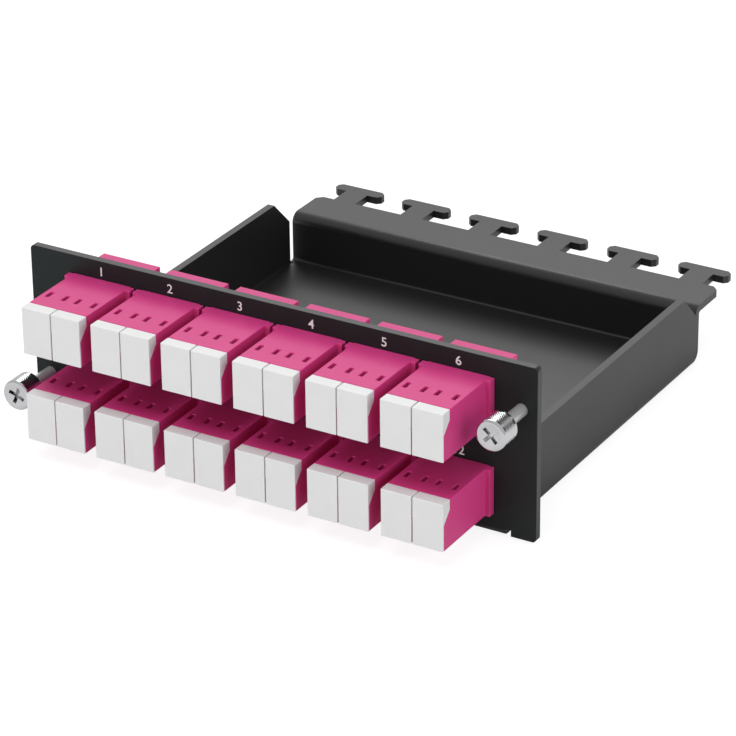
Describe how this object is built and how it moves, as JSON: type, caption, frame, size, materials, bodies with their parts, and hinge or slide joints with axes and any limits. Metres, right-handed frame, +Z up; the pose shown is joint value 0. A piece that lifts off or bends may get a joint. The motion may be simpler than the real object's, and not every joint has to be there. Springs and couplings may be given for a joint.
{
  "type": "fibre cassette",
  "caption": "Folded black steel tray with a front panel of magenta duplex fibre adapters in two rows, white dust caps, captive panel screws and rear tie tabs.",
  "frame": {"origin": "middle of the front panel's rear face, the face that bears on the rack housing", "axes": "+X across to the right seen from the front, +Y from the panel to the rear of the tray, +Z up"},
  "size_m": [0.1062, 0.1143, 0.0349],
  "materials": {
    "black_powder_coat": "satin black powder coat with a fine texture",
    "magenta_housing": "moulded magenta plastic, satin",
    "white_cap": "moulded white plastic, satin",
    "spring_steel": "bare rolled spring steel",
    "white_ceramic": "ground zirconia",
    "bright_chrome": "bright plated, knurled grip"
  },
  "bodies": {
    "cassette": {"folded_tray": "black_powder_coat", "adapter_01": "magenta_housing", "adapter_02": "magenta_housing", "adapter_03": "magenta_housing", "adapter_04": "magenta_housing", "adapter_05": "magenta_housing", "adapter_06": "magenta_housing", "adapter_07": "magenta_housing", "adapter_08": "magenta_housing", "adapter_09": "magenta_housing", "adapter_10": "magenta_housing", "adapter_11": "magenta_housing", "adapter_12": "magenta_housing", "adapter_clips": "spring_steel", "alignment_sleeves": "white_ceramic"},
    "front_cap_01_left": {"front_cap_01_left": "white_cap"},
    "front_cap_01_right": {"front_cap_01_right": "white_cap"},
    "front_cap_02_left": {"front_cap_02_left": "white_cap"},
    "front_cap_02_right": {"front_cap_02_right": "white_cap"},
    "front_cap_03_left": {"front_cap_03_left": "white_cap"},
    "front_cap_03_right": {"front_cap_03_right": "white_cap"},
    "front_cap_04_left": {"front_cap_04_left": "white_cap"},
    "front_cap_04_right": {"front_cap_04_right": "white_cap"},
    "front_cap_05_left": {"front_cap_05_left": "white_cap"},
    "front_cap_05_right": {"front_cap_05_right": "white_cap"},
    "front_cap_06_left": {"front_cap_06_left": "white_cap"},
    "front_cap_06_right": {"front_cap_06_right": "white_cap"},
    "front_cap_07_left": {"front_cap_07_left": "white_cap"},
    "front_cap_07_right": {"front_cap_07_right": "white_cap"},
    "front_cap_08_left": {"front_cap_08_left": "white_cap"},
    "front_cap_08_right": {"front_cap_08_right": "white_cap"},
    "front_cap_09_left": {"front_cap_09_left": "white_cap"},
    "front_cap_09_right": {"front_cap_09_right": "white_cap"},
    "front_cap_10_left": {"front_cap_10_left": "white_cap"},
    "front_cap_10_right": {"front_cap_10_right": "white_cap"},
    "front_cap_11_left": {"front_cap_11_left": "white_cap"},
    "front_cap_11_right": {"front_cap_11_right": "white_cap"},
    "front_cap_12_left": {"front_cap_12_left": "white_cap"},
    "front_cap_12_right": {"front_cap_12_right": "white_cap"},
    "rear_cap_01": {"rear_cap_01": "white_cap"},
    "rear_cap_02": {"rear_cap_02": "white_cap"},
    "rear_cap_03": {"rear_cap_03": "white_cap"},
    "rear_cap_04": {"rear_cap_04": "white_cap"},
    "rear_cap_05": {"rear_cap_05": "white_cap"},
    "rear_cap_06": {"rear_cap_06": "white_cap"},
    "rear_cap_07": {"rear_cap_07": "white_cap"},
    "rear_cap_08": {"rear_cap_08": "white_cap"},
    "rear_cap_09": {"rear_cap_09": "white_cap"},
    "rear_cap_10": {"rear_cap_10": "white_cap"},
    "rear_cap_11": {"rear_cap_11": "white_cap"},
    "rear_cap_12": {"rear_cap_12": "white_cap"},
    "captive_screw_left": {"captive_screw_left": "bright_chrome"},
    "captive_screw_right": {"captive_screw_right": "bright_chrome"}
  },
  "joints": [
    {"name": "front_cap_01_left_pull", "type": "slide", "parent": "cassette", "child": "front_cap_01_left", "axis": [0, -1, 0], "range_m": [0, 0.012]},
    {"name": "front_cap_01_right_pull", "type": "slide", "parent": "cassette", "child": "front_cap_01_right", "axis": [0, -1, 0], "range_m": [0, 0.012]},
    {"name": "front_cap_02_left_pull", "type": "slide", "parent": "cassette", "child": "front_cap_02_left", "axis": [0, -1, 0], "range_m": [0, 0.012]},
    {"name": "front_cap_02_right_pull", "type": "slide", "parent": "cassette", "child": "front_cap_02_right", "axis": [0, -1, 0], "range_m": [0, 0.012]},
    {"name": "front_cap_03_left_pull", "type": "slide", "parent": "cassette", "child": "front_cap_03_left", "axis": [0, -1, 0], "range_m": [0, 0.012]},
    {"name": "front_cap_03_right_pull", "type": "slide", "parent": "cassette", "child": "front_cap_03_right", "axis": [0, -1, 0], "range_m": [0, 0.012]},
    {"name": "front_cap_04_left_pull", "type": "slide", "parent": "cassette", "child": "front_cap_04_left", "axis": [0, -1, 0], "range_m": [0, 0.012]},
    {"name": "front_cap_04_right_pull", "type": "slide", "parent": "cassette", "child": "front_cap_04_right", "axis": [0, -1, 0], "range_m": [0, 0.012]},
    {"name": "front_cap_05_left_pull", "type": "slide", "parent": "cassette", "child": "front_cap_05_left", "axis": [0, -1, 0], "range_m": [0, 0.012]},
    {"name": "front_cap_05_right_pull", "type": "slide", "parent": "cassette", "child": "front_cap_05_right", "axis": [0, -1, 0], "range_m": [0, 0.012]},
    {"name": "front_cap_06_left_pull", "type": "slide", "parent": "cassette", "child": "front_cap_06_left", "axis": [0, -1, 0], "range_m": [0, 0.012]},
    {"name": "front_cap_06_right_pull", "type": "slide", "parent": "cassette", "child": "front_cap_06_right", "axis": [0, -1, 0], "range_m": [0, 0.012]},
    {"name": "front_cap_07_left_pull", "type": "slide", "parent": "cassette", "child": "front_cap_07_left", "axis": [0, -1, 0], "range_m": [0, 0.012]},
    {"name": "front_cap_07_right_pull", "type": "slide", "parent": "cassette", "child": "front_cap_07_right", "axis": [0, -1, 0], "range_m": [0, 0.012]},
    {"name": "front_cap_08_left_pull", "type": "slide", "parent": "cassette", "child": "front_cap_08_left", "axis": [0, -1, 0], "range_m": [0, 0.012]},
    {"name": "front_cap_08_right_pull", "type": "slide", "parent": "cassette", "child": "front_cap_08_right", "axis": [0, -1, 0], "range_m": [0, 0.012]},
    {"name": "front_cap_09_left_pull", "type": "slide", "parent": "cassette", "child": "front_cap_09_left", "axis": [0, -1, 0], "range_m": [0, 0.012]},
    {"name": "front_cap_09_right_pull", "type": "slide", "parent": "cassette", "child": "front_cap_09_right", "axis": [0, -1, 0], "range_m": [0, 0.012]},
    {"name": "front_cap_10_left_pull", "type": "slide", "parent": "cassette", "child": "front_cap_10_left", "axis": [0, -1, 0], "range_m": [0, 0.012]},
    {"name": "front_cap_10_right_pull", "type": "slide", "parent": "cassette", "child": "front_cap_10_right", "axis": [0, -1, 0], "range_m": [0, 0.012]},
    {"name": "front_cap_11_left_pull", "type": "slide", "parent": "cassette", "child": "front_cap_11_left", "axis": [0, -1, 0], "range_m": [0, 0.012]},
    {"name": "front_cap_11_right_pull", "type": "slide", "parent": "cassette", "child": "front_cap_11_right", "axis": [0, -1, 0], "range_m": [0, 0.012]},
    {"name": "front_cap_12_left_pull", "type": "slide", "parent": "cassette", "child": "front_cap_12_left", "axis": [0, -1, 0], "range_m": [0, 0.012]},
    {"name": "front_cap_12_right_pull", "type": "slide", "parent": "cassette", "child": "front_cap_12_right", "axis": [0, -1, 0], "range_m": [0, 0.012]},
    {"name": "rear_cap_01_pull", "type": "slide", "parent": "cassette", "child": "rear_cap_01", "axis": [0, 1, 0], "range_m": [0, 0.012]},
    {"name": "rear_cap_02_pull", "type": "slide", "parent": "cassette", "child": "rear_cap_02", "axis": [0, 1, 0], "range_m": [0, 0.012]},
    {"name": "rear_cap_03_pull", "type": "slide", "parent": "cassette", "child": "rear_cap_03", "axis": [0, 1, 0], "range_m": [0, 0.012]},
    {"name": "rear_cap_04_pull", "type": "slide", "parent": "cassette", "child": "rear_cap_04", "axis": [0, 1, 0], "range_m": [0, 0.012]},
    {"name": "rear_cap_05_pull", "type": "slide", "parent": "cassette", "child": "rear_cap_05", "axis": [0, 1, 0], "range_m": [0, 0.012]},
    {"name": "rear_cap_06_pull", "type": "slide", "parent": "cassette", "child": "rear_cap_06", "axis": [0, 1, 0], "range_m": [0, 0.012]},
    {"name": "rear_cap_07_pull", "type": "slide", "parent": "cassette", "child": "rear_cap_07", "axis": [0, 1, 0], "range_m": [0, 0.012]},
    {"name": "rear_cap_08_pull", "type": "slide", "parent": "cassette", "child": "rear_cap_08", "axis": [0, 1, 0], "range_m": [0, 0.012]},
    {"name": "rear_cap_09_pull", "type": "slide", "parent": "cassette", "child": "rear_cap_09", "axis": [0, 1, 0], "range_m": [0, 0.012]},
    {"name": "rear_cap_10_pull", "type": "slide", "parent": "cassette", "child": "rear_cap_10", "axis": [0, 1, 0], "range_m": [0, 0.012]},
    {"name": "rear_cap_11_pull", "type": "slide", "parent": "cassette", "child": "rear_cap_11", "axis": [0, 1, 0], "range_m": [0, 0.012]},
    {"name": "rear_cap_12_pull", "type": "slide", "parent": "cassette", "child": "rear_cap_12", "axis": [0, 1, 0], "range_m": [0, 0.012]},
    {"name": "captive_screw_left_travel", "type": "slide", "parent": "cassette", "child": "captive_screw_left", "axis": [0, 1, 0], "range_m": [0, 0.0065]},
    {"name": "captive_screw_right_travel", "type": "slide", "parent": "cassette", "child": "captive_screw_right", "axis": [0, 1, 0], "range_m": [0, 0.0065]}
  ]
}
